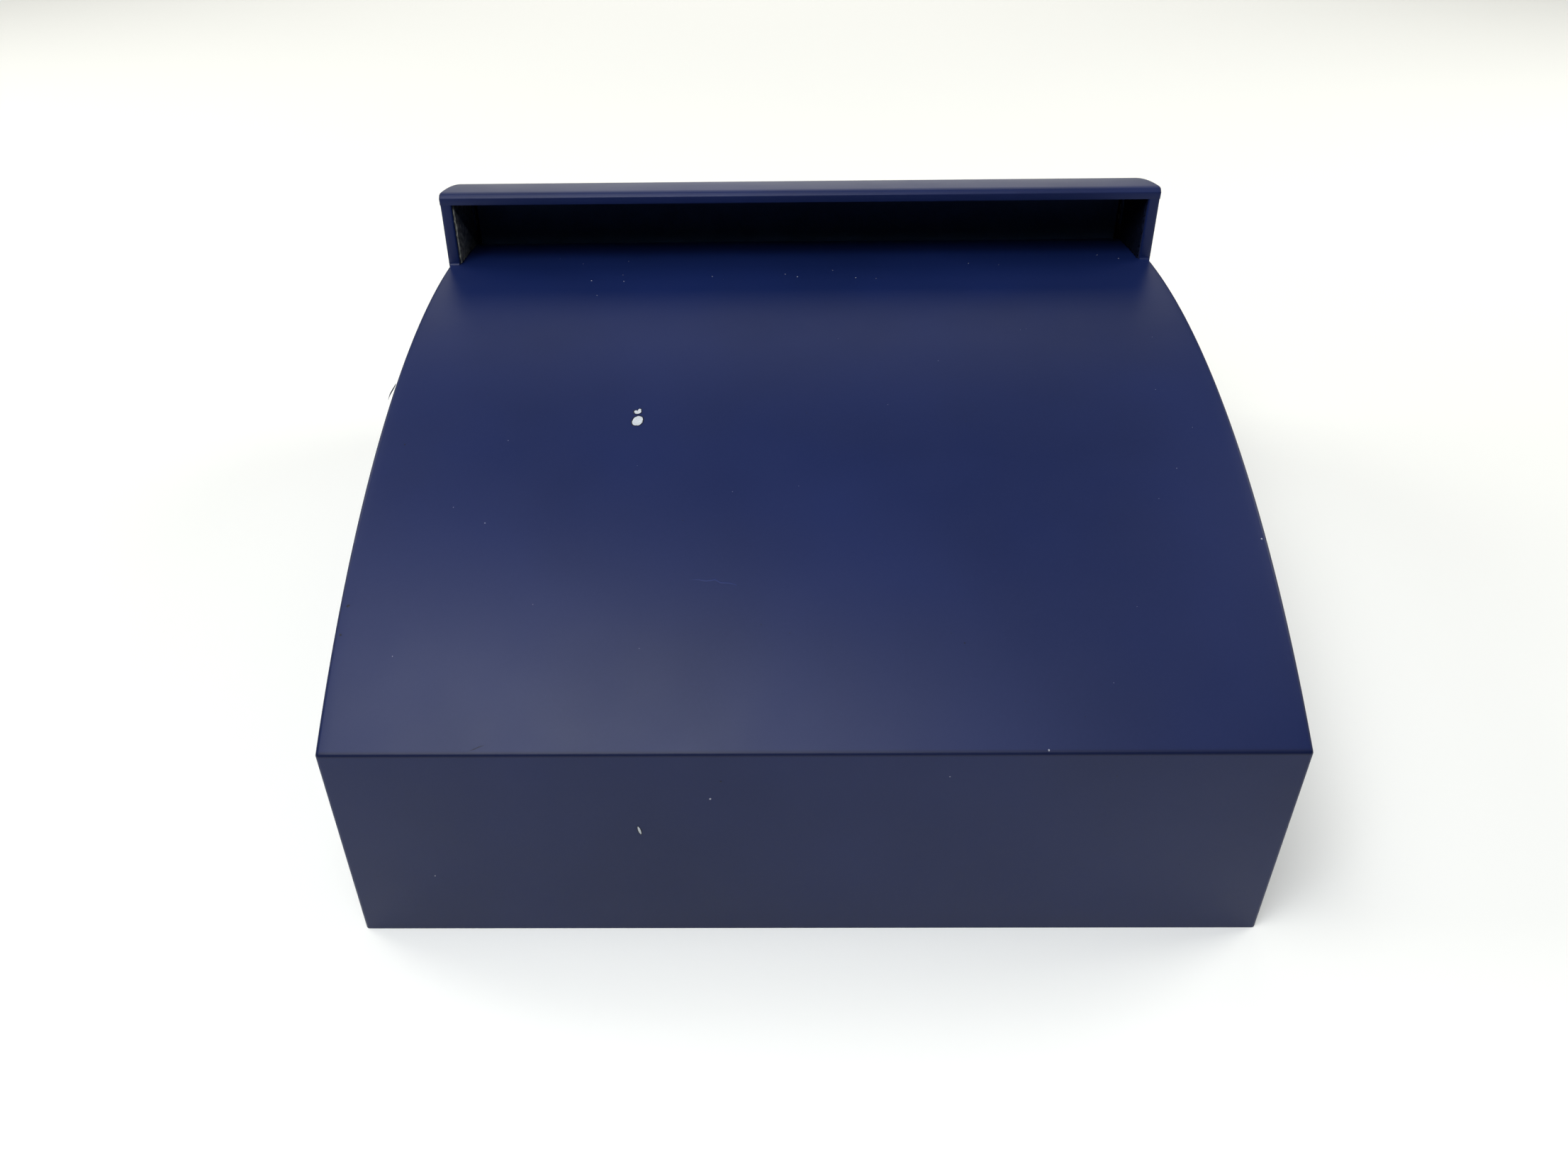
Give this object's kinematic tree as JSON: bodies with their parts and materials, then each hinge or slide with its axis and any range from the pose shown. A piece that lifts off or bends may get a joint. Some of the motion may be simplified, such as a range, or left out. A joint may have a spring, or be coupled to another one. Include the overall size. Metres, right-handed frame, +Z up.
{
  "type": "book drop box",
  "caption": "Counter-top book return: low lacquered box with a curved deck leading up into a hooded slot, hanging flap inside and a lockable rear door.",
  "frame": {"origin": "middle of the carcass footprint, on the surface it stands on", "axes": "+X to the right seen from the front, +Y from the front face to the rear door, +Z up"},
  "size_m": [0.61, 0.76, 0.3368],
  "materials": {
    "lacquer": "satin",
    "raw_board": "matte",
    "liner": "matte",
    "flap": "matte",
    "mat": "matte",
    "rubber": "matte",
    "steel": "satin",
    "lock_metal": "polished",
    "knob": "satin"
  },
  "bodies": {
    "cabinet": {"side_panel_left": "lacquer", "side_panel_right": "lacquer", "front_panel": "lacquer", "curved_deck": "lacquer", "hood_roof": "lacquer", "rear_header": "lacquer", "base_panel": "lacquer", "base_batten_left": "raw_board", "base_batten_right": "raw_board", "base_batten_front": "raw_board", "corner_batten_left": "raw_board", "corner_batten_right": "raw_board", "deck_cleat_left": "raw_board", "deck_cleat_right": "raw_board", "deck_rib_center": "raw_board", "throat_rail": "raw_board", "roof_cleat_left": "raw_board", "roof_cleat_right": "raw_board", "door_stop_batten": "raw_board", "throat_liner_left": "liner", "throat_liner_right": "liner", "landing_mat": "mat", "flap_stop_strip": "rubber", "door_bumpers": "rubber", "flap_rod": "steel", "flap_bracket_left": "steel", "flap_bracket_right": "steel", "flap_bracket_screws": "steel", "hinge_jamb_leaf": "steel", "hinge_pin": "steel", "hinge_jamb_screws": "steel", "strike_plate": "steel", "strike_screws": "steel", "base_screws": "steel"},
    "flap": {"return_flap": "flap"},
    "door": {"door_panel": "lacquer", "hinge_door_leaf": "steel", "hinge_door_screws": "steel", "door_knob": "knob", "door_knob_screw": "steel", "lock_housing": "lock_metal", "lock_nut": "steel"},
    "lock_core": {"lock_plug": "lock_metal", "lock_cam": "steel", "lock_cam_screw": "steel"}
  },
  "joints": [
    {"name": "flap_swing", "type": "hinge", "parent": "cabinet", "child": "flap", "pos_m": [0, 0.2043, 0.30565], "axis": [1, 0, 0], "range_deg": [0, 70]},
    {"name": "door_swing", "type": "hinge", "parent": "cabinet", "child": "door", "pos_m": [-0.29275, 0.37055, 0.116], "axis": [0, 0, 1], "range_deg": [0, 110]},
    {"name": "lock_turn", "type": "hinge", "parent": "door", "child": "lock_core", "pos_m": [0.2605, 0.3675, 0.135], "axis": [0, -1, 0], "range_deg": [0, 90]}
  ]
}
